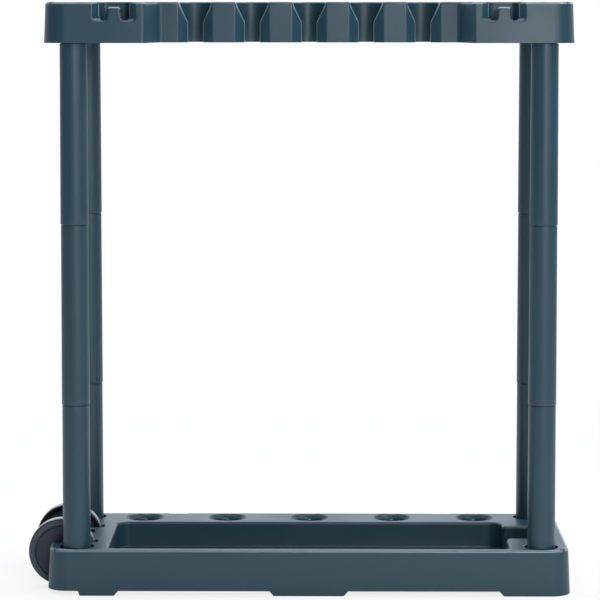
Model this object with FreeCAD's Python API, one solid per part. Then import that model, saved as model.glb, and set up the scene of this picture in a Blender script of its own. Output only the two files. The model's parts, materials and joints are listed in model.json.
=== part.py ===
import FreeCAD, Part
import math
import os

V = FreeCAD.Vector

# Free-standing garden tool rack. Four posts, each of three push-fit tube sections, join a
# moulded base with a trough and handle cups to a moulded top with front pockets and rear holes.
# Two wheels on a fixed axle stand out past the left end of the base.
# X runs along the rack, Y from front to back, Z up from the floor.

# ---- driving dimensions, mm -------------------------------------------------------------

# both mouldings, in plan and in height
rack_length = 655.0
rack_depth = 250.0
wall = 3.0

# base
deck_height = 58.0
deck_thickness = 3.0
base_corner_radius = 26.0
base_draft = 2.5
base_edge_radius = 4.0
foot_height = 6.0
foot_slant = 5.2
outer_foot_slant = 2.3
middle_foot_width = 88.0
side_foot_width = 43.0
side_foot_x = 264.5
end_foot_width = 45.0

# trough for tool heads, and the recess that opens off its right end
trough_length = 502.0
trough_front_gap = 12.0
trough_rear_gap = 66.0
trough_depth = 34.0
trough_front_radius = 10.0
trough_rear_radius = 16.0
trough_floor_radius = 2.5
trough_rim_radius = 3.5
recess_length = 49.0
recess_width = 76.0
recess_rear_gap = 29.0
recess_mouth_radius = 8.0
recess_edge_radius = 4.0
recess_end_radius = 12.0

# handle cups in the base and the holes above them in the top
cup_count = 5
cup_pitch = 108.9
cup_rear_gap = 32.0
cup_diameter = 38.5
cup_rim_diameter = 50.0
cup_rim_depth = 7.0
cup_rim_radius = 2.5
cup_depth = 40.0
cup_floor_radius = 3.0
dip_x = 175.0
dip_width = 24.5
dip_depth = 1.4
dip_reach = 8.0

# posts
tube_sections = 3
tube_length = 225.0
tube_bottom_diameter = 35.0
tube_top_diameter = 34.0
tube_wall = 2.0
spigot_diameter = 31.0
spigot_length = 30.0
spigot_chamfer = 1.2
tube_chamfer = 0.7
joint_gap = 0.8
post_end_gap = 36.5
post_side_gap = 26.0
post_floor_height = 12.5
socket_clearance = 0.05
socket_mouth_diameter = 43.0
socket_mouth_depth = 8.0
socket_drain_diameter = 20.0

# wheels and axle
wheel_diameter = 85.0
wheel_width = 17.0
wheel_overhang = 27.0
wheel_ground_gap = 2.4
front_wheel_gap = 59.75
wheel_spacing = 99.0
well_width = 21.6
well_end_gap = 60.5
well_radius = 4.0
tyre_thickness = 7.7
tyre_shoulder_radius = 2.6
tyre_fit = 0.05
disc_groove_width = 2.3
disc_groove_depth = 2.6
disc_plate = 2.6
disc_dish = 1.2
rim_wall = 2.4
hub_diameter = 20.0
hub_end_clearance = 0.3
spoke_count = 6
spoke_thickness = 2.4
axle_diameter = 10.0
axle_clearance = 0.05
axle_end_reach = 2.6
axle_end_clearance = 0.5
axle_chamfer = 0.8
snap_mouth_width = 8.8
nut_diameter = 16.0
nut_dome_diameter = 13.0
nut_dome_height = 3.0
nut_thickness = 1.0

# small slot in the deck between the two wheels
grip_slot_length = 26.0
grip_slot_width = 27.0
grip_slot_gap = 51.0
grip_slot_radius = 6.0

# top
tray_height = 50.5
tray_thickness = 3.0
tray_corner_radius = 29.0
tray_draft = 2.0
tray_edge_radius = 3.6
bay_depth = 60.0
bay_front_width = 402.0
bay_back_width = 375.0
bay_outer_radius = 6.0
bay_inner_radius = 5.0
pocket_count = 5
pocket_pitch = 71.1
pocket_diameter = 43.0
pocket_slot_width = 18.4
pocket_neck = 3.0
bevel_width = 12.0
bevel_depth = 13.5
bevel_edge_radius = 4.0
vee_mouth_width = 43.5
vee_depth = 25.5
handle_hole_diameter = 40.0
handle_hole_rim = 2.0
handle_collar_depth = 25.0

# tool hook in each front corner block: a flared mouth with a tongue standing in it
hook_bay_gap = 0.75
hook_width = 56.5
hook_depth = 23.4
hook_corner_radius = 5.0
hook_flare_depth = 10.0
hook_flare_side = 9.7
hook_flare_rise = 0.6
hook_lip_radius = 3.0
hook_pocket_reach = 24.0
hook_pocket_floor = 31.0
hook_pocket_radius = 8.0
tongue_thickness = 4.0
tongue_drop = 6.4
tongue_top_width = 16.0
tongue_foot_width = 19.0
tongue_top_radius = 4.0
tongue_foot_radius = 5.0

# ribs under both mouldings
rib_thickness = 2.0
rib_depth = 32.0

# how far a cut runs past a surface, how far joined forms run into each other, and how near
# counts as beside or as on a surface
through = 5.0
bite = 1.0
beside = 1.0
touch = 1e-3

# ---- places worked out from the dimensions -------------------------------------------------

half_length = rack_length / 2
half_depth = rack_depth / 2

post_x = half_length - post_end_gap
post_y = half_depth - post_side_gap
tray_bottom = post_floor_height + tube_sections * tube_length
rack_height = tray_bottom + tray_height

trough_front = -half_depth + trough_front_gap
trough_back = half_depth - trough_rear_gap
trough_floor = deck_height - trough_depth
cup_y = half_depth - cup_rear_gap
cup_floor = deck_height - cup_depth

wheel_radius = wheel_diameter / 2
axle_x = -half_length - wheel_overhang + wheel_radius
axle_z = wheel_ground_gap + wheel_radius
axle_radius = axle_diameter / 2
front_wheel_y = -half_depth + front_wheel_gap
rear_wheel_y = front_wheel_y + wheel_spacing
well_end_x = -half_length + well_end_gap

bay_back_y = -half_depth + bay_depth
bevel_back_y = bay_back_y + bevel_depth
pocket_radius = pocket_diameter / 2
pocket_reach = math.sqrt(pocket_radius ** 2 - (pocket_slot_width / 2) ** 2)
pocket_y = bevel_back_y + pocket_neck + pocket_reach
hook_x = bay_front_width / 2 + bay_outer_radius + hook_bay_gap + hook_lip_radius + hook_width / 2

# the wheels stand out to the left, so the middle of the whole rack lies left of the base's
centre_shift = wheel_overhang / 2


# ---- forms used more than once -------------------------------------------------------------

def spaced(count, pitch):
    """Places of a row of like features, centred on zero."""
    return [(i - (count - 1) / 2) * pitch for i in range(count)]


def block(x0, x1, y0, y1, z0, z1):
    return Part.makeBox(x1 - x0, y1 - y0, z1 - z0, V(x0, y0, z0))


def rod(radius, x, y, z0, z1):
    return Part.makeCylinder(radius, z1 - z0, V(x, y, z0))


def corner_points(before, here, after, radius):
    """Start, middle and end of the arc that rounds one corner of an outline."""
    back = (before - here).normalize()
    ahead = (after - here).normalize()
    half_turn = back.getAngle(ahead) / 2
    inward = (back + ahead).normalize()
    centre = here + inward * (radius / math.sin(half_turn))
    reach = radius / math.tan(half_turn)
    return here + back * reach, centre - inward * radius, here + ahead * reach


def outline(corners, level=0.0):
    """Closed flat wire through corners (x, y, radius) at one height."""
    places = [V(x, y, level) for x, y, radius in corners]
    count = len(places)
    arcs = []
    for i in range(count):
        arcs.append(corner_points(places[i - 1], places[i], places[(i + 1) % count], corners[i][2]))
    edges = []
    for i in range(count):
        start, middle, end = arcs[i]
        if corners[i][2] > 0:
            edges.append(Part.Arc(start, middle, end).toShape())
        following = arcs[(i + 1) % count][0]
        edges.append(Part.makeLine(end, following))
    return Part.Wire(edges)


def prism(corners, z0, z1):
    """Upright block with the outline of the given corners."""
    return Part.Face(outline(corners, z0)).extrude(V(0, 0, z1 - z0))


def rectangle(half_x, half_y, radius):
    return [(-half_x, -half_y, radius), (half_x, -half_y, radius),
            (half_x, half_y, radius), (-half_x, half_y, radius)]


def drafted_block(inset, corner_radius, draft, z0, z1, height):
    """Rack-sized block whose walls lean in by draft over height, set in by inset."""
    wires = []
    for level in (z0, z1):
        lean = inset + draft * (level - z0) / height
        corners = rectangle(half_length - lean, half_depth - lean, corner_radius - lean)
        wires.append(outline(corners, level))
    return Part.makeLoft(wires, True, True)


def turned(profile, centre, direction=V(0, 0, 1)):
    """Solid of revolution: profile is (radius, height) points along direction."""
    points = [V(radius, 0, height) for radius, height in profile]
    face = Part.Face(Part.makePolygon(points + points[:1]))
    solid = face.revolve(V(0, 0, 0), V(0, 0, 1), 360)
    turn = FreeCAD.Rotation(V(0, 0, 1), direction)
    solid.Placement = FreeCAD.Placement(centre, turn)
    return solid


def level_edges(shape, level, keep=None):
    """Edges of a shape that lie at one height, and inside keep where it is given."""
    chosen = []
    for edge in shape.Edges:
        box = edge.BoundBox
        if abs(box.ZMin - level) > touch or abs(box.ZMax - level) > touch:
            continue
        if keep is None or keep(box.Center):
            chosen.append(edge)
    return chosen


def fused(shapes):
    whole = shapes[0]
    if len(shapes) > 1:
        whole = whole.fuse(shapes[1:])
    return whole


# ---- base ----------------------------------------------------------------------------------

def trough_corners(grow):
    """Plan of the trough with the recess at its right end, grown outwards by a wall."""
    end = trough_length / 2 + grow
    front = trough_front - grow
    back = trough_back + grow
    recess_end = trough_length / 2 + recess_length + grow
    recess_back = trough_back - recess_rear_gap + grow
    recess_front = trough_back - recess_rear_gap - recess_width - grow
    return [(-end, front, trough_front_radius + grow), (end, front, trough_front_radius + grow),
            (end, recess_front, recess_mouth_radius), (recess_end, recess_front, recess_end_radius + grow),
            (recess_end, recess_back, recess_end_radius + grow), (end, recess_back, recess_edge_radius),
            (end, back, trough_rear_radius + grow), (-end, back, trough_rear_radius + grow)]


def trough_space():
    space = prism(trough_corners(0), trough_floor, deck_height + through)
    return space.makeFillet(trough_floor_radius, level_edges(space, trough_floor))


def over_trough(point):
    reach = trough_length / 2 + recess_length + through
    inside_y = trough_front - beside < point.y < trough_back + beside
    return abs(point.x) < reach and inside_y


def cup_space(x):
    radius = cup_diameter / 2
    rim = cup_rim_diameter / 2
    slope = (rim - radius) / cup_rim_depth
    profile = [(0, cup_floor), (radius - cup_floor_radius, cup_floor),
               (radius, cup_floor + cup_floor_radius), (radius, deck_height - cup_rim_depth),
               (rim + slope * through, deck_height + through), (0, deck_height + through)]
    return turned(profile, V(x, cup_y, 0))


def on_cup_rim(point):
    """True where the middle of a deck edge is the middle of a cup."""
    apart = min(abs(point.x - x) for x in spaced(cup_count, cup_pitch))
    return apart < beside and abs(point.y - cup_y) < beside


def cup_wall(x):
    radius = cup_diameter / 2 + wall
    rim = cup_rim_diameter / 2 + wall
    profile = [(0, cup_floor - wall), (radius, cup_floor - wall),
               (radius, deck_height - cup_rim_depth - wall), (rim, deck_height - wall),
               (rim, deck_height), (0, deck_height)]
    return turned(profile, V(x, cup_y, 0))


def post_places():
    return [(sx * post_x, sy * post_y) for sx in (-1, 1) for sy in (-1, 1)]


def socket_space(x, y):
    seat = tube_bottom_diameter / 2 + socket_clearance
    mouth = socket_mouth_diameter / 2
    drain = socket_drain_diameter / 2
    lip = deck_height - socket_mouth_depth
    taper = mouth - seat
    profile = [(0, -through), (drain, -through), (drain, post_floor_height),
               (seat, post_floor_height), (seat, lip - taper), (mouth, lip),
               (mouth, deck_height + through), (0, deck_height + through)]
    return turned(profile, V(x, y, 0))


def socket_wall(x, y):
    seat = tube_bottom_diameter / 2 + socket_clearance + wall
    mouth = socket_mouth_diameter / 2 + wall
    lip = deck_height - socket_mouth_depth
    profile = [(0, post_floor_height - wall), (seat, post_floor_height - wall),
               (seat, lip - (mouth - seat)), (mouth, lip), (mouth, deck_height), (0, deck_height)]
    return turned(profile, V(x, y, 0))


def well_space(wheel_y):
    """Slot through the deck and the left wall that one wheel stands in."""
    half = well_width / 2
    outside = -half_length - through
    corners = [(outside, wheel_y - half, 0), (well_end_x, wheel_y - half, well_radius),
               (well_end_x, wheel_y + half, well_radius), (outside, wheel_y + half, 0)]
    return prism(corners, -through, deck_height + through)


def well_wall(wheel_y):
    half = well_width / 2 + wall
    return block(-half_length, well_end_x + wall, wheel_y - half, wheel_y + half,
                 foot_height, deck_height)


def axle_space():
    """Bore for the axle, with the snap-in slot that it enters by from below."""
    front = axle_front_y() - axle_end_clearance
    back = axle_back_y() + axle_end_clearance
    radius = axle_radius + axle_clearance
    bore = Part.makeCylinder(radius, back - front, V(axle_x, front, axle_z), V(0, 1, 0))
    half = snap_mouth_width / 2
    mouth = block(axle_x - half, axle_x + half, front, back, -through, axle_z)
    return bore.fuse(mouth)


def axle_front_y():
    return front_wheel_y - well_width / 2 - wall - axle_end_reach


def axle_back_y():
    return rear_wheel_y + well_width / 2 + wall + axle_end_reach


def foot_reliefs():
    """Spaces under the skirt between the foot tabs."""
    middle = middle_foot_width / 2
    side_in = side_foot_x - side_foot_width / 2
    side_out = side_foot_x + side_foot_width / 2
    reach = half_length + through
    spans = [(-reach, -side_out, 0, outer_foot_slant), (-side_in, -middle, foot_slant, foot_slant),
             (middle, side_in, foot_slant, foot_slant)]
    reliefs = []
    for x0, x1, slant0, slant1 in spans:
        points = [V(x0, 0, -through), V(x1, 0, -through), V(x1, 0, 0),
                  V(x1 - slant1, 0, foot_height), V(x0 + slant0, 0, foot_height), V(x0, 0, 0)]
        face = Part.Face(Part.makePolygon(points + points[:1]))
        face.translate(V(0, -half_depth - through, 0))
        reliefs.append(face.extrude(V(0, rack_depth + 2 * through, 0)))
    half = half_depth - end_foot_width
    points = [V(0, -half, -through), V(0, half, -through), V(0, half, 0),
              V(0, half - foot_slant, foot_height), V(0, -half + foot_slant, foot_height), V(0, -half, 0)]
    face = Part.Face(Part.makePolygon(points + points[:1]))
    face.translate(V(side_in + foot_slant, 0, 0))
    reliefs.append(face.extrude(V(reach - side_in, 0, 0)))
    return reliefs


def base_ribs():
    """Ribs under the deck from the trough to the rear skirt, one beside each cup."""
    ribs = []
    for x in spaced(cup_count - 1, cup_pitch):
        ribs.append(block(x - rib_thickness / 2, x + rib_thickness / 2, trough_back, half_depth,
                          deck_height - rib_depth, deck_height))
    return ribs


def base_cavity():
    """The hollow under the deck, less the walls that stand in it."""
    hollow = drafted_block(wall, base_corner_radius, base_draft, 0,
                           deck_height - deck_thickness, deck_height)
    inset_plan = rectangle(half_length - wall, half_depth - wall, base_corner_radius - wall)
    hollow = hollow.fuse(prism(inset_plan, -through, 0))
    kept = [prism(trough_corners(wall), trough_floor - wall, deck_height)]
    kept += [cup_wall(x) for x in spaced(cup_count, cup_pitch)]
    kept += [socket_wall(x, y) for x, y in post_places()]
    kept += [well_wall(front_wheel_y), well_wall(rear_wheel_y)]
    kept += base_ribs()
    return hollow.cut(fused(kept))


def base_shell():
    body = drafted_block(0, base_corner_radius, base_draft, 0, deck_height, deck_height)
    body = body.makeFillet(base_edge_radius, level_edges(body, deck_height))
    body = body.cut(trough_space())
    body = body.makeFillet(trough_rim_radius, level_edges(body, deck_height, over_trough))
    body = body.cut(fused([cup_space(x) for x in spaced(cup_count, cup_pitch)]))
    body = body.makeFillet(cup_rim_radius, level_edges(body, deck_height, on_cup_rim))
    spaces = [socket_space(x, y) for x, y in post_places()]
    spaces += [well_space(front_wheel_y), well_space(rear_wheel_y)]
    slot_x = -half_length + grip_slot_gap - grip_slot_length / 2
    slot = prism(rectangle(grip_slot_length / 2, grip_slot_width / 2, grip_slot_radius),
                 deck_height - deck_thickness - through, deck_height + through)
    slot.translate(V(slot_x, 0, 0))
    spaces.append(slot)
    for side in (-1, 1):
        x = side * dip_x
        spaces.append(block(x - dip_width / 2, x + dip_width / 2, half_depth - dip_reach,
                            half_depth + through, deck_height - dip_depth, deck_height + through))
    spaces += foot_reliefs()
    spaces.append(base_cavity())
    spaces.append(axle_space())
    return body.cut(fused(spaces))


# ---- top -----------------------------------------------------------------------------------

def bay_corners(grow):
    """Plan of the bay in the front between the two corner blocks."""
    outside = -half_depth - through
    front = bay_front_width / 2 + grow
    back = bay_back_width / 2 + grow
    lean = (front - back) / bay_depth
    return [(-front - lean * through, outside, 0), (front + lean * through, outside, 0),
            (back, bay_back_y + grow, 0), (-back, bay_back_y + grow, 0)]


def pocket_plan_parts(x, grow, z0, z1):
    """Round pocket, its slot and the bevels that lead into the slot, grown by a wall."""
    slot = pocket_slot_width / 2 + grow
    miter = math.hypot(bevel_width, bevel_depth) / bevel_depth * grow
    wide = pocket_slot_width / 2 + bevel_width + miter
    slope = bevel_depth / bevel_width
    tip = bay_back_y + (wide - slot) * slope
    front = bay_back_y - (0 if grow else through)
    if grow:
        bevels = [(x - wide, front, 0), (x + wide, front, 0), (x + slot, tip, 0), (x - slot, tip, 0)]
    else:
        side = wide + bevel_edge_radius
        bevels = [(x - side, front, 0), (x + side, front, 0), (x + side, bay_back_y, 0),
                  (x + wide, bay_back_y, bevel_edge_radius), (x + slot, tip, 0), (x - slot, tip, 0),
                  (x - wide, bay_back_y, bevel_edge_radius), (x - side, bay_back_y, 0)]
    return [rod(pocket_radius + grow, x, pocket_y, z0, z1),
            block(x - slot, x + slot, bay_back_y, pocket_y, z0, z1),
            prism(bevels, z0, z1)]


def vee(x, grow):
    """V-shaped mouth of a pocket, which narrows downwards to the slot."""
    wires = []
    over = through if grow == 0 else 0
    slot = pocket_slot_width / 2 + grow
    for y, top in ((bay_back_y - over, vee_mouth_width / 2 + grow), (pocket_y, pocket_radius + grow)):
        slope = (top - slot) / vee_depth
        low = rack_height - vee_depth - grow
        points = [V(x - slot, y, low), V(x + slot, y, low),
                  V(x + top + slope * over, y, rack_height + over),
                  V(x - top - slope * over, y, rack_height + over)]
        wires.append(Part.makePolygon(points + points[:1]))
    return Part.makeLoft(wires, True, True)


def handle_hole(x):
    radius = handle_hole_diameter / 2
    rim = rack_height - handle_hole_rim
    profile = [(0, tray_bottom - through), (radius, tray_bottom - through), (radius, rim),
               (radius + handle_hole_rim + through, rack_height + through), (0, rack_height + through)]
    return turned(profile, V(x, cup_y, 0))


def upright_wire(corners, y):
    """Closed wire through corners (x, z, radius) that stands at one Y."""
    wire = outline(corners, -y)
    wire.rotate(V(0, 0, 0), V(1, 0, 0), 90)
    return wire


def hook_flare(x, grow, front, above):
    """Mouth of a hook, which narrows from the front face inwards."""
    wires = []
    for y in (front, -half_depth + hook_flare_depth):
        share = (y + half_depth) / hook_flare_depth
        half = hook_width / 2 - hook_flare_side * share + grow
        low = rack_height - hook_depth + hook_flare_rise * share - grow
        high = rack_height + above
        corners = [(x - half, low, hook_corner_radius), (x + half, low, hook_corner_radius),
                   (x + half, high, 0), (x - half, high, 0)]
        wires.append(upright_wire(corners, y))
    return Part.makeLoft(wires, True, True)


def hook_pocket(x, grow, above):
    """Pocket behind the mouth of a hook."""
    half = hook_width / 2 - hook_flare_side + grow
    front = -half_depth + hook_flare_depth
    back = front + hook_pocket_reach + grow
    corners = [(x - half, front, 0), (x + half, front, 0),
               (x + half, back, hook_pocket_radius + grow), (x - half, back, hook_pocket_radius + grow)]
    return prism(corners, rack_height - hook_pocket_floor - grow, rack_height + above)


def tongue_block(x):
    """Tongue between the notches of a hook, with rounded feet, through the front face."""
    half = hook_width / 2
    low = rack_height - hook_depth
    tip = rack_height - tongue_drop
    top = tongue_top_width / 2
    foot = tongue_foot_width / 2
    base = low - tongue_foot_radius
    corners = [(x - half, base, 0), (x + half, base, 0), (x + half, low, 0),
               (x + foot, low, tongue_foot_radius), (x + top, tip, tongue_top_radius),
               (x - top, tip, tongue_top_radius), (x - foot, low, tongue_foot_radius), (x - half, low, 0)]
    face = Part.Face(upright_wire(corners, -half_depth - through))
    return face.extrude(V(0, through + tray_draft + tongue_thickness, 0))


def hook_space(x):
    """Mouth and pocket of a hook, less its tongue."""
    space = hook_flare(x, 0, -half_depth - through, through).fuse(hook_pocket(x, 0, through))
    return space.cut(tongue_block(x))


def hook_lip_edges(shape):
    """Outer edges of each hook: round its mouth and tongue in front, and along its flares on top."""
    low = rack_height - hook_depth
    front = -half_depth + tray_draft
    chosen = []
    for edge in shape.Edges:
        box = edge.BoundBox
        reach = max(abs(abs(box.XMin) - hook_x), abs(abs(box.XMax) - hook_x))
        if reach > hook_width / 2 + touch or box.ZMin < low - touch:
            continue
        on_front = box.YMax < front + touch
        over_edge = box.ZMin > rack_height - tray_edge_radius - beside
        on_round = over_edge and box.YMax < front + tray_edge_radius
        on_top = box.ZMin > rack_height - touch and box.YMax < -half_depth + hook_flare_depth + touch
        if on_front or on_round or on_top:
            chosen.append(edge)
    return chosen


def post_boss(x, y):
    radius = spigot_diameter / 2 + socket_clearance + wall
    return rod(radius, x, y, tray_bottom, rack_height)


def spigot_space(x, y):
    radius = spigot_diameter / 2 + socket_clearance
    return rod(radius, x, y, tray_bottom - through, tray_bottom + spigot_length)


def tray_ribs():
    """Ribs under the top, between the rear holes, from the pockets to the rear skirt."""
    start = pocket_y + pocket_radius
    ribs = []
    for x in spaced(cup_count - 1, cup_pitch):
        ribs.append(block(x - rib_thickness / 2, x + rib_thickness / 2, start, half_depth,
                          rack_height - rib_depth, rack_height))
    cross = start + wall / 2
    ribs.append(block(-bay_back_width / 2, bay_back_width / 2, cross, cross + rib_thickness,
                      rack_height - rib_depth, rack_height))
    return ribs


def tray_cavity():
    """The hollow under the top, less the walls that stand in it."""
    hollow = drafted_block(wall, tray_corner_radius, tray_draft, tray_bottom,
                           rack_height - tray_thickness, tray_height)
    inset_plan = rectangle(half_length - wall, half_depth - wall, tray_corner_radius - wall)
    hollow = hollow.fuse(prism(inset_plan, tray_bottom - through, tray_bottom))
    kept = [prism(bay_corners(wall), tray_bottom, rack_height)]
    for x in spaced(pocket_count, pocket_pitch):
        kept += pocket_plan_parts(x, wall, tray_bottom, rack_height)
        kept.append(vee(x, wall))
    for x in spaced(cup_count, cup_pitch):
        kept.append(rod(handle_hole_diameter / 2 + wall, x, cup_y,
                        rack_height - handle_collar_depth, rack_height))
    kept += [post_boss(x, y) for x, y in post_places()]
    for side in (-1, 1):
        kept.append(hook_flare(side * hook_x, wall, -half_depth, 0))
        kept.append(hook_pocket(side * hook_x, wall, 0))
    kept += tray_ribs()
    return hollow.cut(fused(kept))


def slanted_edges(shape, x, y):
    """Edges that stand over the full height at plus and minus x near y."""
    chosen = []
    for edge in shape.Edges:
        box = edge.BoundBox
        tall = box.ZLength > tray_height - touch
        if tall and abs(abs(box.Center.x) - x) < tray_draft and abs(box.Center.y - y) < tray_draft:
            chosen.append(edge)
    return chosen


def tray_body():
    """Outer form of the top with its bay and hooks, and with its edges rounded."""
    body = drafted_block(0, tray_corner_radius, tray_draft, tray_bottom, rack_height, tray_height)
    body = body.cut(prism(bay_corners(0), tray_bottom - through, rack_height + through))
    outer = slanted_edges(body, bay_front_width / 2, -half_depth + tray_draft / 2)
    body = body.makeFillet(bay_outer_radius, outer)
    inner = slanted_edges(body, bay_back_width / 2, bay_back_y)
    body = body.makeFillet(bay_inner_radius, inner)
    body = body.makeFillet(tray_edge_radius, level_edges(body, rack_height))
    body = body.cut(fused([hook_space(side * hook_x) for side in (-1, 1)]))
    return body.makeFillet(hook_lip_radius, hook_lip_edges(body))


def top_tray():
    low = tray_bottom - through
    high = rack_height + through
    spaces = []
    for x in spaced(pocket_count, pocket_pitch):
        spaces += pocket_plan_parts(x, 0, low, high)
        spaces.append(vee(x, 0))
    spaces += [handle_hole(x) for x in spaced(cup_count, cup_pitch)]
    spaces += [spigot_space(x, y) for x, y in post_places()]
    spaces.append(tray_cavity())
    return tray_body().cut(fused(spaces))


# ---- posts ---------------------------------------------------------------------------------

def tube(x, y, z):
    """One tapered section: a socket in its lower end and a spigot on its upper end."""
    low = tube_bottom_diameter / 2
    high = tube_top_diameter / 2
    spigot = spigot_diameter / 2
    bore = spigot - tube_wall
    socket = spigot + socket_clearance
    shoulder = tube_length - joint_gap
    tip = tube_length + spigot_length
    profile = [(socket, 0), (low - tube_chamfer, 0), (low, tube_chamfer), (high, shoulder),
               (spigot, shoulder), (spigot, tip - spigot_chamfer), (spigot - spigot_chamfer, tip),
               (bore, tip), (bore, spigot_length), (socket, spigot_length)]
    return turned(profile, V(x, y, z))


# ---- wheels --------------------------------------------------------------------------------

def wheel_tyre(wheel_y):
    """Ring with rounded shoulders round the disc."""
    half = wheel_width / 2
    inner = wheel_radius - tyre_thickness
    corners = [(inner, -half, 0), (wheel_radius, -half, tyre_shoulder_radius),
               (wheel_radius, half, tyre_shoulder_radius), (inner, half, 0)]
    ring = Part.Face(outline(corners)).revolve(V(0, 0, 0), V(0, 1, 0), 360)
    ring.translate(V(axle_x, wheel_y, axle_z))
    return ring


def wheel_disc(wheel_y, outward):
    """Disc with its closed face outward, and a hub, a rim and spokes behind the face."""
    half = wheel_width / 2
    rim = wheel_radius - tyre_thickness - tyre_fit
    face_edge = rim - disc_groove_width
    hub = hub_diameter / 2
    bore = axle_radius + axle_clearance
    hub_half = well_width / 2 - hub_end_clearance
    inside = face_edge - rim_wall
    back = half - disc_plate
    profile = [(bore, -hub_half), (hub, -hub_half), (hub, back - disc_dish), (inside, back),
               (inside, -half), (rim, -half), (rim, half - disc_groove_depth),
               (face_edge, half - disc_groove_depth), (face_edge, half), (hub, half - disc_dish),
               (hub, hub_half), (bore, hub_half)]
    direction = V(0, outward, 0)
    parts = [turned(profile, V(0, 0, 0), direction)]
    ends = sorted((-half * outward, (back - disc_dish) * outward))
    for i in range(spoke_count):
        spoke = block(hub - bite, inside + bite, ends[0], ends[1], -spoke_thickness / 2, spoke_thickness / 2)
        spoke.rotate(V(0, 0, 0), V(0, 1, 0), i * 360.0 / spoke_count)
        parts.append(spoke)
    disc = fused(parts).removeSplitter()
    disc.translate(V(axle_x, wheel_y, axle_z))
    return disc


def axle():
    length = axle_back_y() - axle_front_y()
    profile = [(0, 0), (axle_radius - axle_chamfer, 0), (axle_radius, axle_chamfer),
               (axle_radius, length - axle_chamfer), (axle_radius - axle_chamfer, length), (0, length)]
    return turned(profile, V(axle_x, axle_front_y(), axle_z), V(0, 1, 0))


def push_nut(face_y, outward):
    """Sprung nut on the axle against a well wall: a flat ring with a raised middle."""
    outer = nut_diameter / 2
    dome = nut_dome_diameter / 2
    crown = nut_dome_height - nut_thickness
    profile = [(axle_radius, crown), (dome - nut_thickness, crown), (dome - nut_thickness, 0),
               (outer, 0), (outer, nut_thickness), (dome, nut_thickness),
               (dome, nut_dome_height), (axle_radius, nut_dome_height)]
    return turned(profile, V(axle_x, face_y, axle_z), V(0, outward, 0))


# ---- assembly ------------------------------------------------------------------------------

def pieces():
    named = {"base_shell": base_shell(), "top_tray": top_tray()}
    heights = ["lower", "middle", "upper", "fourth", "fifth"]
    for end, sx in (("left", -1), ("right", 1)):
        for side, sy in (("front", -1), ("rear", 1)):
            for level in range(tube_sections):
                name = side + "_" + end + "_" + heights[level] + "_tube"
                z = post_floor_height + level * tube_length
                named[name] = tube(sx * post_x, sy * post_y, z)
    named["front_wheel_disc"] = wheel_disc(front_wheel_y, -1)
    named["rear_wheel_disc"] = wheel_disc(rear_wheel_y, 1)
    named["front_wheel_tyre"] = wheel_tyre(front_wheel_y)
    named["rear_wheel_tyre"] = wheel_tyre(rear_wheel_y)
    named["axle"] = axle()
    named["front_push_nut"] = push_nut(front_wheel_y + well_width / 2 + wall, 1)
    named["rear_push_nut"] = push_nut(rear_wheel_y - well_width / 2 - wall, -1)
    return named


os.makedirs("parts", exist_ok=True)
for name, shape in pieces().items():
    shape.translate(V(centre_shift, 0, 0))
    if not shape.isValid():
        print("not valid:", name)
    print(name, len(shape.Solids), "solid", round(shape.Volume / 1000, 1), "cm3")
    shape.exportStep("parts/" + name + ".step")
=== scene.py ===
import json
import math
import bmesh
import bpy
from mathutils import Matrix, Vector

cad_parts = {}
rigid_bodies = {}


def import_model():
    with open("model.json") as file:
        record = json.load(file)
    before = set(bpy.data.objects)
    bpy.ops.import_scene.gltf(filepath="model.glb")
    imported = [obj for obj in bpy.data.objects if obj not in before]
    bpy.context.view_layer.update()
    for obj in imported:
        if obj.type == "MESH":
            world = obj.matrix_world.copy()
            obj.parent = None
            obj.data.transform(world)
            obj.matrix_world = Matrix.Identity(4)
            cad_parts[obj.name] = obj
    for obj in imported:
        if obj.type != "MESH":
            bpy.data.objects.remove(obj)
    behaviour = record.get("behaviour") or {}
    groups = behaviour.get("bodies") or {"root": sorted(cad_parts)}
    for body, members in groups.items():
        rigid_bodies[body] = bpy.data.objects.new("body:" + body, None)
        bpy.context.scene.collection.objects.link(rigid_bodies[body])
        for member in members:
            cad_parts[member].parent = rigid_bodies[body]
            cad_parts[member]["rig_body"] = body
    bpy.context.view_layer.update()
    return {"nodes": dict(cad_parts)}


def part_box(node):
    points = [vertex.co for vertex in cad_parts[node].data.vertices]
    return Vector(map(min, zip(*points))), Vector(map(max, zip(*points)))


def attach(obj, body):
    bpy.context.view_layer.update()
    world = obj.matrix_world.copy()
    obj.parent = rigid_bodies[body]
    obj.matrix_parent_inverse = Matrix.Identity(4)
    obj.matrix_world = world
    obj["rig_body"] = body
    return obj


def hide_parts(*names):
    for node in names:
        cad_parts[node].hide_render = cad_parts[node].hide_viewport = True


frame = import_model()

# Free-standing garden tool rack: a moulded base and top joined by four posts of push-fit tube,
# with two wheels on an axle at the left end of the base. Sizes are in metres.


# ---- base ----------------------------------------------------------------------------------
# The base is one injection moulding in dark blue-grey resin with a trough for tool heads, cups
# for handles and sockets for the posts. Its mould leaves a fine spark-eroded grain. Its rim and
# rounded edges are smoother and carry a paler colour, which is a painted highlight.

# Each finish has two close colours, which cloud into each other, with a roughness for each.
RESIN = ((0.0125, 0.049, 0.0735), (0.0145, 0.055, 0.0820))
RESIN_ROUGHNESS = (0.34, 0.44)
RESIN_GLOSS = 0.5
# The edge finish is paler than the resin: a painted highlight on rims and rounded edges, which are also
# smoother.
PAINTED_HIGHLIGHT_COLOURS = ((0.150, 0.210, 0.245), (0.175, 0.240, 0.280))
PAINTED_HIGHLIGHT_ROUGHNESS = (0.22, 0.30)

# The grain is bump only. The clouding is far larger, and most of it lies within the noise span.
GRAIN_SIZE = 0.0009
GRAIN_DETAIL = 3.0
GRAIN_HARSHNESS = 0.6
GRAIN_DEPTH = 0.00006
PAINTED_HIGHLIGHT_DEPTH = GRAIN_DEPTH / 3
FLOW_SIZE = 0.11
FLOW_DETAIL = 2.0
NOISE_SPAN = (0.3, 0.7)

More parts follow.
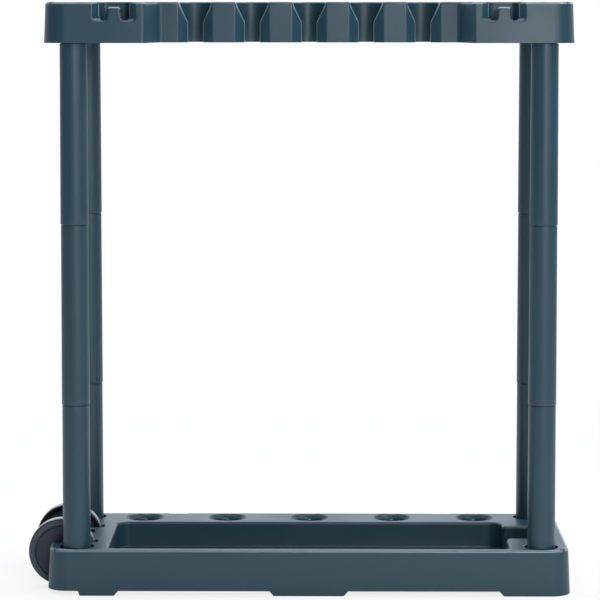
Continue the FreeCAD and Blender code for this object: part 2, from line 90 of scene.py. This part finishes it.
# Edges sharper than the sharp angle are set back by the piece's edge width. Tops, open ends and
# rims are told by the upward part of a face's normal.
BASE_EDGE = 0.0008
EDGE_STEPS = 2
SHARP_ANGLE = math.radians(28)
FLAT_ANGLE = math.radians(0.2)
FLAT_TOP = 0.98
OPEN_END = -0.9
RIM_REACH = 0.008
RIM_TILT = 0.2
SEAM = 0.000002
SHORTEST_EDGE = 0.00009

# Places in a piece's list of materials.
MAIN_FINISH = 0
EDGE_FINISH = 1


def sockets(group, direction, kinds):
    """Adds named sockets to a node group: {name: (kind, default)}."""
    for name, (kind, default) in kinds.items():
        socket = group.interface.new_socket(name, in_out=direction, socket_type="NodeSocket" + kind)
        if default is not None:
            socket.default_value = default


def math_node(nodes, links, operation, first, second):
    """A Math node on two links or numbers, returned as its output."""
    node = nodes.new("ShaderNodeMath")
    node.operation = operation
    for i, value in enumerate((first, second)):
        if isinstance(value, (int, float)):
            node.inputs[i].default_value = value
        else:
            links.new(value, node.inputs[i])
    return node.outputs[0]


def noise(nodes, links, vector, size, detail, roughness=0.5):
    """A Noise texture with features of about the given size, which may be a link."""
    node = nodes.new("ShaderNodeTexNoise")
    node.inputs["Detail"].default_value = detail
    node.inputs["Roughness"].default_value = roughness
    if isinstance(size, (int, float)):
        node.inputs["Scale"].default_value = 1 / size
    else:
        links.new(math_node(nodes, links, "DIVIDE", 1.0, size), node.inputs["Scale"])
    links.new(vector, node.inputs["Vector"])
    return node.outputs["Fac"]


def mould_grain_group():
    """Spark-eroded grain of a mould, and the faint clouding that the melt leaves as it flows."""
    group = bpy.data.node_groups.new("mould_grain", "ShaderNodeTree")
    sockets(group, "INPUT", {"Vector": ("Vector", None), "Grain Size": ("Float", GRAIN_SIZE),
                             "Flow Size": ("Float", FLOW_SIZE)})
    sockets(group, "OUTPUT", {"Height": ("Float", None), "Cloud": ("Float", None)})
    nodes, links = group.nodes, group.links
    start = nodes.new("NodeGroupInput")
    end = nodes.new("NodeGroupOutput")
    place = start.outputs["Vector"]
    fine = noise(nodes, links, place, start.outputs["Grain Size"], GRAIN_DETAIL, GRAIN_HARSHNESS)
    cloud = noise(nodes, links, place, start.outputs["Flow Size"], FLOW_DETAIL)
    links.new(fine, end.inputs["Height"])
    links.new(cloud, end.inputs["Cloud"])
    return group


def new_material(name):
    """An empty material with its nodes, links and Principled shader."""
    material = bpy.data.materials.new(name)
    material.use_nodes = True
    nodes = material.node_tree.nodes
    return material, nodes, material.node_tree.links, nodes["Principled BSDF"]


def mixed_colour(nodes, links, factor, first, second):
    """A colour that goes from the first to the second with the factor."""
    node = nodes.new("ShaderNodeMix")
    node.data_type = "RGBA"
    sides = [socket for socket in node.inputs if socket.type == "RGBA"]
    for socket, colour in zip(sides, (first, second)):
        socket.default_value = (*colour, 1.0)
    links.new(factor, node.inputs["Factor"])
    return next(socket for socket in node.outputs if socket.type == "RGBA")


def spread(nodes, links, value, low, high, to_low, to_high):
    """A value mapped from one range to another, and held at its ends."""
    node = nodes.new("ShaderNodeMapRange")
    ends = {"From Min": low, "From Max": high, "To Min": to_low, "To Max": to_high}
    for name, number in ends.items():
        node.inputs[name].default_value = number
    links.new(value, node.inputs["Value"])
    return node.outputs["Result"]


mould_grain = mould_grain_group()


def moulded(name, colours, roughness, grain_depth, gloss=RESIN_GLOSS):
    """Moulded plastic with a grain, a little clouding and a satin gloss."""
    material, nodes, links, shader = new_material(name)
    place = nodes.new("ShaderNodeTexCoord").outputs["Object"]
    texture = nodes.new("ShaderNodeGroup")
    texture.node_tree = mould_grain
    links.new(place, texture.inputs["Vector"])
    cloud = texture.outputs["Cloud"]
    links.new(mixed_colour(nodes, links, cloud, *colours), shader.inputs["Base Color"])
    links.new(spread(nodes, links, cloud, *NOISE_SPAN, *roughness), shader.inputs["Roughness"])
    shader.inputs["Specular IOR Level"].default_value = gloss
    bump = nodes.new("ShaderNodeBump")
    bump.inputs["Distance"].default_value = grain_depth
    links.new(texture.outputs["Height"], bump.inputs["Height"])
    links.new(bump.outputs["Normal"], shader.inputs["Normal"])
    return material


def has_room(edge, width):
    """True where both faces beside an edge can be rounded back, and neither is a wall's open end.

    A face's width is its area over this edge beside a flat top, and over its longest edge elsewhere.
    """
    on_top = any(face.normal.z > FLAT_TOP for face in edge.link_faces)
    for face in edge.link_faces:
        along = edge.calc_length() if on_top else max(side.calc_length() for side in face.edges)
        if face.calc_area() / along < 2 * width or face.normal.z < OPEN_END:
            return False
    return True


def outer_rim(form, low, high):
    """The tilted faces of the rounded rim round the top of a piece."""
    rim = []
    for face in form.faces:
        x, y, z = face.calc_center_median()
        inside = min(x - low[0], high[0] - x, y - low[1], high[1] - y)
        if inside < RIM_REACH and z > high[2] - RIM_REACH and RIM_TILT < face.normal.z < FLAT_TOP:
            rim.append(face)
    return rim


def rounded_copy(name, edge_width):
    """A merged copy of a CAD node's mesh with the small rounded edges of the real piece."""
    form = bmesh.new()
    form.from_mesh(frame["nodes"][name].data)
    bmesh.ops.remove_doubles(form, verts=form.verts, dist=SEAM)
    bmesh.ops.dissolve_limit(form, angle_limit=FLAT_ANGLE, verts=form.verts, edges=form.edges)
    bmesh.ops.dissolve_degenerate(form, edges=form.edges, dist=SHORTEST_EDGE)
    sharp = [edge for edge in form.edges if edge.is_manifold and edge.is_convex
             and edge.calc_face_angle() > SHARP_ANGLE and has_room(edge, edge_width)]
    rounds = bmesh.ops.bevel(form, geom=sharp, affect="EDGES", offset=edge_width, offset_type="OFFSET",
                             segments=EDGE_STEPS, profile=0.5, material=-1, clamp_overlap=False)["faces"]
    for face in form.faces:
        face.smooth = True
    # Rounded edges and the outer rim take the edge finish, which on the resin is a painted highlight.
    for face in rounds + outer_rim(form, *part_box(name)):
        face.material_index = EDGE_FINISH
    mesh = bpy.data.meshes.new(name)
    form.to_mesh(mesh)
    form.free()
    mesh.set_sharp_from_angle(angle=SHARP_ANGLE)
    return mesh


def dressed(name, material, edge_width, edge_material=None):
    """Stands for a CAD node of the same shape, with its edges rounded and its finish on it."""
    mesh = rounded_copy(name, edge_width)
    mesh.materials.append(material)
    mesh.materials.append(edge_material or material)
    piece = bpy.data.objects.new(name + "_finished", mesh)
    bpy.context.scene.collection.objects.link(piece)
    smooth = piece.modifiers.new("even shading", "WEIGHTED_NORMAL")
    smooth.keep_sharp = True
    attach(piece, frame["nodes"][name]["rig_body"])
    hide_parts(name)
    return piece


resin = moulded("body_resin", RESIN, RESIN_ROUGHNESS, GRAIN_DEPTH)
# Paler, smoother resin for edges and rims: its colour is a painted highlight.
painted_highlight_resin = moulded("painted_highlight_resin", PAINTED_HIGHLIGHT_COLOURS, PAINTED_HIGHLIGHT_ROUGHNESS, PAINTED_HIGHLIGHT_DEPTH)
dressed("base_shell", resin, BASE_EDGE, edge_material=painted_highlight_resin)


# ---- posts ---------------------------------------------------------------------------------
# Each post is three tapered tubes pushed into each other, in the same resin as the base. The
# lowest stands in a socket of the base and the highest takes a boss of the top.

TUBE_EDGE = 0.0004

for node_name in sorted(frame["nodes"]):
    if node_name.endswith("_tube"):
        dressed(node_name, resin, TUBE_EDGE)


# ---- top -----------------------------------------------------------------------------------
# The top is the second large moulding, in the same resin, with its rims painted paler as a highlight, as
# on the base.
# It has a bay with five pockets in front, five round holes behind, and a flared hook with a
# tongue in each front corner block. Its four bosses stand in the posts.

TOP_EDGE = 0.0014

dressed("top_tray", resin, TOP_EDGE, edge_material=painted_highlight_resin)


# ---- wheels --------------------------------------------------------------------------------
# Each wheel is a moulded disc with a hub, spokes and a smooth cover on one side, and a ring of
# soft vinyl pressed over its rim. The ring's tread is polished by rolling, and its face on the
# wheel's hollow side, where the wheels face each other, is painted near black as shade. Both
# wheels turn on the axle, in wells of the base.

DISC = ((0.004, 0.013, 0.030), (0.006, 0.016, 0.036))
DISC_ROUGHNESS = (0.36, 0.48)
VINYL = ((0.029, 0.045, 0.064), (0.035, 0.053, 0.074))
VINYL_ROUGHNESS = (0.34, 0.46)
VINYL_DEPTH = GRAIN_DEPTH / 3
TREAD_ROUGHNESS = (0.12, 0.22)
TREAD_DEPTH = GRAIN_DEPTH / 6
# Near-black painted shade on the ring's face on the hollow side, with little gloss.
PAINTED_SHADE_BLACK = ((0.0015, 0.0015, 0.003), (0.0025, 0.0025, 0.005))
PAINTED_SHADE_GLOSS = 0.15
PAINTED_SHADE_FINISH = 2
HOLLOW_SIDE = {"front": 1, "rear": -1}  # the side of each wheel that faces the other, along Y
SIDE_FACING = 0.9
WHEEL_EDGE = 0.0003

disc_plastic = moulded("wheel_resin", DISC, DISC_ROUGHNESS, GRAIN_DEPTH)
vinyl = moulded("tyre_vinyl", VINYL, VINYL_ROUGHNESS, VINYL_DEPTH)
rolled_vinyl = moulded("tyre_tread", VINYL, TREAD_ROUGHNESS, TREAD_DEPTH)
painted_shade_material = moulded("wheel_painted_shade", PAINTED_SHADE_BLACK, DISC_ROUGHNESS, GRAIN_DEPTH, PAINTED_SHADE_GLOSS)


def tyre_finish(face, hollow_side):
    """The finish of one face of a ring: its tread, its hollow side, which is painted shade, or its
    covered side.
    """
    if abs(face.normal.y) < SIDE_FACING:
        return EDGE_FINISH
    if face.normal.y * hollow_side > 0:
        return PAINTED_SHADE_FINISH
    return MAIN_FINISH


for side, hollow_side in HOLLOW_SIDE.items():
    dressed(side + "_wheel_disc", disc_plastic, WHEEL_EDGE)
    tyre = dressed(side + "_wheel_tyre", vinyl, WHEEL_EDGE, edge_material=rolled_vinyl)
    tyre.data.materials.append(painted_shade_material)
    for face in tyre.data.polygons:
        face.material_index = tyre_finish(face, hollow_side)


# ---- axle and nuts -------------------------------------------------------------------------
# The axle is a length of drawn steel bar, zinc plated. It snaps into the walls of the wheel wells,
# and a sprung steel nut pushed on each end keeps it there.

ZINC = ((0.55, 0.56, 0.58), (0.48, 0.49, 0.51))
ZINC_ROUGHNESS = (0.28, 0.42)
DRAWN_LINE = 0.0004
DRAWN_DETAIL = 2.0
DRAWN_STRETCH = (1, 0.05, 1)


def drawn_zinc():
    """Zinc plate over steel with fine lines along the bar."""
    material, nodes, links, shader = new_material("zinc_plate")
    shader.inputs["Metallic"].default_value = 1.0
    place = nodes.new("ShaderNodeTexCoord").outputs["Object"]
    stretch = nodes.new("ShaderNodeMapping")
    stretch.inputs["Scale"].default_value = DRAWN_STRETCH
    links.new(place, stretch.inputs["Vector"])
    lines = noise(nodes, links, stretch.outputs["Vector"], DRAWN_LINE, DRAWN_DETAIL)
    links.new(mixed_colour(nodes, links, lines, *ZINC), shader.inputs["Base Color"])
    links.new(spread(nodes, links, lines, *NOISE_SPAN, *ZINC_ROUGHNESS), shader.inputs["Roughness"])
    return material


zinc = drawn_zinc()
for node_name in ("axle", "front_push_nut", "rear_push_nut"):
    piece = frame["nodes"][node_name]
    piece.data.materials.clear()
    piece.data.materials.append(zinc)


# ---- floor, light and camera ---------------------------------------------------------------
# The rack stands on a wide pale floor in a plain white studio. Two soft boxes hang overhead, three
# stand in front to the right, and a lit backdrop behind gives the edges their sheen. A long lens
# looks from the front, level with the top and turned down a little.

FLOOR_RADIUS = 40.0
FLOOR_CORNERS = 96
FLOOR_TINT = (0.92, 0.92, 0.92)
SHADOW_SHARE = 0.2
SHADOW_REACH = (0.5, 1.6)

WHITE = (1.0, 1.0, 1.0)
BACKDROP_TINT = (0.84, 0.90, 1.0)
BACKDROP_LIGHT = 1.55
BACKDROP_RISE = (0.1, 0.8)
LEAST_LIGHT = 0.08

LAMP_AIM = (0.0, 0.0, 0.5)
# name: (place, width, height, watts)
SOFT_BOXES = {
    "overhead": ((0.0, 0.2, 2.3), 3.2, 0.8, 43.0),
    "overhead right": ((1.5, -0.4, 2.1), 0.9, 0.9, 13.0),
    "front high": ((0.8, -3.0, 2.0), 1.6, 0.8, 23.0),
    "front right": ((0.75, -3.6, 1.15), 0.9, 0.9, 26.0),
    "front far": ((2.0, -2.8, 1.2), 0.9, 1.2, 10.0),
}

CAMERA_PLACE = (0.0296, -3.4154, 0.7308)
CAMERA_TILT = math.radians(85.046)
CAMERA_TURN = math.radians(0.4701)
LENS = 160.86
SENSOR_WIDTH = 36.0
LENS_SHIFT = -0.1
FARTHEST_SEEN = 60.0


def studio_floor():
    """Floor that is white to the camera, and keeps the rack's soft shadow close to it."""
    form = bmesh.new()
    bmesh.ops.create_circle(form, cap_ends=True, radius=FLOOR_RADIUS, segments=FLOOR_CORNERS)
    mesh = bpy.data.meshes.new("floor")
    form.to_mesh(mesh)
    form.free()
    floor = bpy.data.objects.new("floor", mesh)
    bpy.context.scene.collection.objects.link(floor)
    material, nodes, links, shader = new_material("pale_floor")
    shader.inputs["Base Color"].default_value = (*FLOOR_TINT, 1.0)
    shader.inputs["Roughness"].default_value = 1.0
    shader.inputs["Specular IOR Level"].default_value = 0.0
    distance = nodes.new("ShaderNodeVectorMath")
    distance.operation = "LENGTH"
    links.new(nodes.new("ShaderNodeTexCoord").outputs["Object"], distance.inputs[0])
    shown = spread(nodes, links, distance.outputs["Value"], *SHADOW_REACH, 1 - SHADOW_SHARE, 1.0)
    white = nodes.new("ShaderNodeEmission")
    path = nodes.new("ShaderNodeLightPath")
    both = nodes.new("ShaderNodeMixShader")
    links.new(math_node(nodes, links, "MULTIPLY", path.outputs["Is Camera Ray"], shown), both.inputs[0])
    links.new(shader.outputs[0], both.inputs[1])
    links.new(white.outputs[0], both.inputs[2])
    links.new(both.outputs[0], nodes["Material Output"].inputs["Surface"])
    mesh.materials.append(material)


def studio_world():
    """White all round for the camera; for light, a cool backdrop behind and little elsewhere."""
    world = bpy.data.worlds.new("studio")
    bpy.context.scene.world = world
    world.use_nodes = True
    nodes, links = world.node_tree.nodes, world.node_tree.links
    seen = nodes["Background"]
    seen.inputs["Color"].default_value = (*WHITE, 1.0)
    seen.inputs["Strength"].default_value = 1.0
    lit = nodes.new("ShaderNodeBackground")
    lit.inputs["Color"].default_value = (*BACKDROP_TINT, 1.0)
    part = nodes.new("ShaderNodeSeparateXYZ")
    links.new(nodes.new("ShaderNodeTexCoord").outputs["Generated"], part.inputs[0])
    level = spread(nodes, links, part.outputs["Y"], *BACKDROP_RISE, LEAST_LIGHT, BACKDROP_LIGHT)
    links.new(level, lit.inputs["Strength"])
    both = nodes.new("ShaderNodeMixShader")
    links.new(nodes.new("ShaderNodeLightPath").outputs["Is Camera Ray"], both.inputs[0])
    links.new(lit.outputs[0], both.inputs[1])
    links.new(seen.outputs[0], both.inputs[2])
    links.new(both.outputs[0], nodes["World Output"].inputs["Surface"])


def soft_box(name, place, width, height, watts):
    """A rectangular lamp turned to the rack, which the camera doesn't see."""
    light = bpy.data.lights.new(name, "AREA")
    light.shape = "RECTANGLE"
    light.size = width
    light.size_y = height
    light.energy = watts
    lamp = bpy.data.objects.new(name, light)
    bpy.context.scene.collection.objects.link(lamp)
    lamp.location = place
    lamp.rotation_euler = (Vector(LAMP_AIM) - Vector(place)).to_track_quat("-Z", "Y").to_euler()
    lamp.visible_camera = False


def studio_camera():
    """The camera in front of the rack."""
    camera = bpy.data.cameras.new("camera")
    camera.sensor_width = SENSOR_WIDTH
    camera.lens = LENS
    camera.shift_y = LENS_SHIFT
    camera.clip_end = FARTHEST_SEEN
    stand = bpy.data.objects.new("camera", camera)
    bpy.context.scene.collection.objects.link(stand)
    stand.location = CAMERA_PLACE
    stand.rotation_euler = (CAMERA_TILT, 0.0, CAMERA_TURN)
    bpy.context.scene.camera = stand


studio_floor()
studio_world()
for name, (place, width, height, watts) in SOFT_BOXES.items():
    soft_box(name, place, width, height, watts)
studio_camera()
bpy.context.scene.view_settings.view_transform = "Standard"
